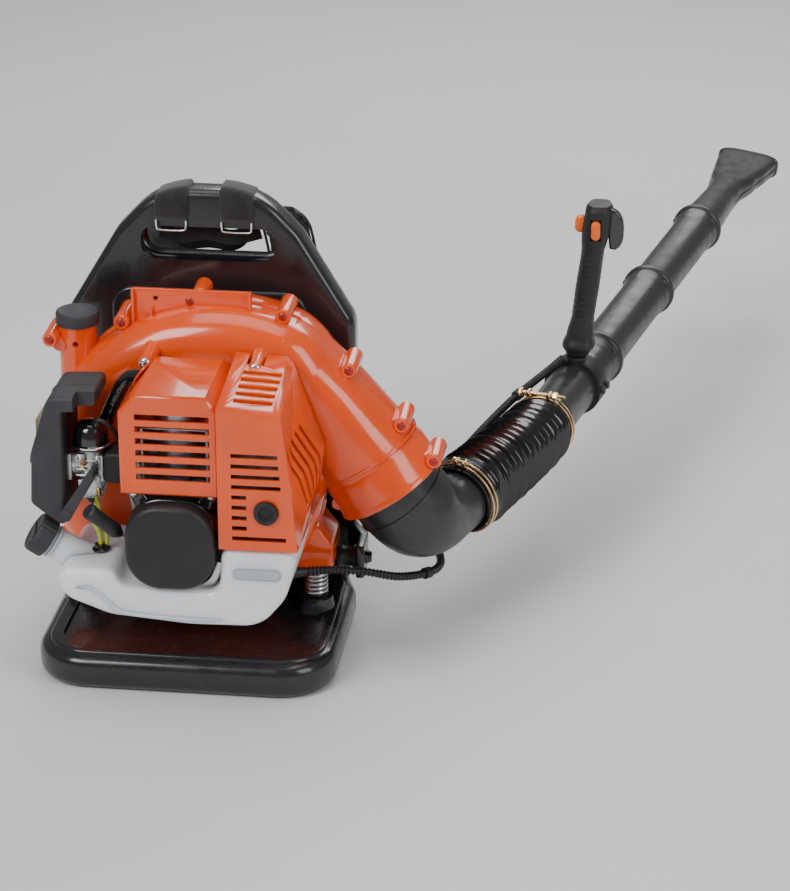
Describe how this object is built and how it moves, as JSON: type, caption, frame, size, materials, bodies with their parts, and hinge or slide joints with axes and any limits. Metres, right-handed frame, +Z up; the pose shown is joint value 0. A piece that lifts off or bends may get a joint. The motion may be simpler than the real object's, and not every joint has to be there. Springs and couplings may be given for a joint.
{
  "type": "backpack leaf blower",
  "caption": "Backpack leaf blower: two-stroke engine and fan on a moulded back frame, with elbow, ribbed hose, straight tubes, flared nozzle and pistol grip.",
  "frame": {"origin": "underside of the foot of the back frame, midway across it, below the split plane of the fan case", "axes": "+Z up, +Y towards the wearer and along the blowing direction, +X towards the side that carries the hose"},
  "size_m": [0.8103, 1.4401, 0.512],
  "materials": {
    "frame_plastic": "blow-moulded, satin gloss",
    "pad_fabric": "black woven polyester over foam",
    "webbing": "black woven webbing",
    "spring_steel": "bright plated wire",
    "black_rubber": "smooth moulded rubber",
    "orange_shell": "glossy moulded orange plastic",
    "charcoal_plastic": "matte charcoal plastic",
    "cast_alloy": "as-cast and machined alloy",
    "shaft_steel": "ground steel",
    "black_plastic": "matte black plastic",
    "muffler_steel": "heat-resistant dark coating",
    "gloss_black": "polished black plastic",
    "filter_foam": "open-cell foam",
    "tank_plastic": "translucent white polyethylene",
    "fuel_line": "clear yellow-green fuel line",
    "conduit_plastic": "corrugated black conduit",
    "rope_cord": "braided starter rope",
    "tube_plastic": "satin charcoal plastic",
    "hose_rubber": "glossy ribbed flexible hose",
    "clamp_brass": "yellow-plated wire",
    "signal_orange": "satin orange plastic"
  },
  "bodies": {
    "root": {"backpack_frame": "frame_plastic", "back_pad": "pad_fabric", "shoulder_strap_left": "pad_fabric", "shoulder_strap_right": "pad_fabric", "strap_wrap_left": "webbing", "strap_wrap_right": "webbing", "mount_spring_left": "spring_steel", "mount_spring_right": "spring_steel", "side_buffer": "black_rubber", "fan_case_front": "orange_shell", "fan_case_rear": "orange_shell", "tower_cap": "charcoal_plastic", "crankcase_front": "cast_alloy", "crankcase_rear": "cast_alloy", "cylinder": "cast_alloy", "spark_plug": "shaft_steel", "plug_lead": "black_rubber", "ignition_coil": "black_plastic", "cylinder_cover": "orange_shell", "muffler_cover": "orange_shell", "muffler": "muffler_steel", "intake_block": "black_plastic", "carburettor": "cast_alloy", "carburettor_top": "gloss_black", "filter_cover": "charcoal_plastic", "filter_base": "black_plastic", "filter_element": "filter_foam", "fuel_tank": "tank_plastic", "tank_grommet": "black_rubber", "fuel_hose": "fuel_line", "starter_housing": "gloss_black", "starter_cover": "black_plastic", "control_conduit_engine": "conduit_plastic"},
    "rotor": {"impeller": "black_plastic", "flywheel": "cast_alloy", "crankshaft": "shaft_steel"},
    "piston": {"piston": "cast_alloy"},
    "pull_handle": {"starter_grip": "black_plastic", "starter_rope": "rope_cord"},
    "rope_pulley": {"starter_pulley": "black_plastic"},
    "choke": {"choke_lever": "charcoal_plastic"},
    "primer": {"primer_bulb": "fuel_line"},
    "throttle_valve": {"throttle_slide": "shaft_steel"},
    "tank_cap": {"fuel_cap": "charcoal_plastic"},
    "elbow": {"elbow": "tube_plastic", "hose_lower": "hose_rubber", "hose_clamp_lower": "clamp_brass", "control_conduit_hose": "conduit_plastic"},
    "tube": {"hose_upper": "hose_rubber", "hose_clamp_upper": "clamp_brass", "tube_1": "tube_plastic", "tube_2": "tube_plastic", "tube_3": "tube_plastic", "control_conduit_handle": "conduit_plastic"},
    "nozzle": {"nozzle": "tube_plastic"},
    "handle": {"handle_clamp": "black_plastic", "handle_grip": "black_plastic"},
    "trigger": {"throttle_trigger": "gloss_black"},
    "lock": {"throttle_lock": "signal_orange"},
    "switch": {"stop_switch": "signal_orange"}
  },
  "joints": [
    {"name": "rotor_spin", "type": "hinge", "parent": "root", "child": "rotor", "pos_m": [0.002, 0, 0.199], "axis": [0, 1, 0], "continuous": true},
    {"name": "piston_stroke", "type": "slide", "parent": "root", "child": "piston", "axis": [0, 0, 1], "range_m": [-0.016, 0.016]},
    {"name": "starter_pull", "type": "slide", "parent": "root", "child": "pull_handle", "axis": [-0.5514, -0.4511, 0.7018], "range_m": [0, 0.6], "stiffness_N_per_m": 12, "springref_m": -0.15, "deforming": ["starter_rope"]},
    {"name": "rope_pulley_turn", "type": "hinge", "parent": "root", "child": "rope_pulley", "pos_m": [0.002, -0.169, 0.199], "axis": [0, 1, 0], "range_deg": [0, 1300]},
    {"name": "choke_turn", "type": "hinge", "parent": "root", "child": "choke", "pos_m": [-0.088, -0.166, 0.262], "axis": [0, 1, 0], "range_deg": [0, 55]},
    {"name": "primer_press", "type": "slide", "parent": "root", "child": "primer", "axis": [0, 0, 1], "range_m": [0, 0.004], "stiffness_N_per_m": 900, "springref_m": -0.001},
    {"name": "throttle_valve_lift", "type": "slide", "parent": "root", "child": "throttle_valve", "axis": [0, 0, 1], "range_m": [0, 0.008]},
    {"name": "tank_cap_turn", "type": "hinge", "parent": "root", "child": "tank_cap", "pos_m": [-0.148, -0.1489, 0.1829], "axis": [-0.7992, -0.1599, 0.5794], "range_deg": [0, 270]},
    {"name": "elbow_swivel", "type": "hinge", "parent": "root", "child": "elbow", "pos_m": [0.217, 0.0025, 0.195], "axis": [0.547, 0, -0.8371], "range_deg": [-5, 45]},
    {"name": "hose_bend", "type": "hinge", "parent": "elbow", "child": "tube", "pos_m": [0.328, 0.17, 0.16], "axis": [0.9732, -0.2301, 0], "range_deg": [-5, 35], "deforming": ["hose_lower", "hose_upper", "control_conduit_hose"]},
    {"name": "nozzle_turn", "type": "hinge", "parent": "tube", "child": "nozzle", "pos_m": [0.53, 0.947, 0.193], "axis": [0.23, 0.9726, 0.0332], "range_deg": [-25, 25]},
    {"name": "handle_swivel", "type": "hinge", "parent": "tube", "child": "handle", "pos_m": [0.3976, 0.3867, 0.174], "axis": [0.23, 0.9726, 0.0332], "range_deg": [-25, 25], "deforming": ["control_conduit_handle"]},
    {"name": "trigger_squeeze", "type": "hinge", "parent": "handle", "child": "trigger", "pos_m": [0.4328, 0.3994, 0.394], "axis": [0, 1, 0], "range_deg": [0, 13], "stiffness_Nm_per_rad": 0.8, "springref_deg": -8.59},
    {"name": "lock_press", "type": "slide", "parent": "handle", "child": "lock", "axis": [1, 0, 0], "range_m": [0, 0.004], "stiffness_N_per_m": 400, "springref_m": -0.001},
    {"name": "stop_rocker", "type": "hinge", "parent": "handle", "child": "switch", "pos_m": [0.4177, 0.3785, 0.376], "axis": [1, 0, 0], "range_deg": [-5, 5]}
  ],
  "couplings": [
    {"joint": "rope_pulley_turn", "follows": "starter_pull", "rad_per_m": 35.7},
    {"joint": "throttle_valve_lift", "follows": "trigger_squeeze", "m_per_rad": 0.034}
  ]
}
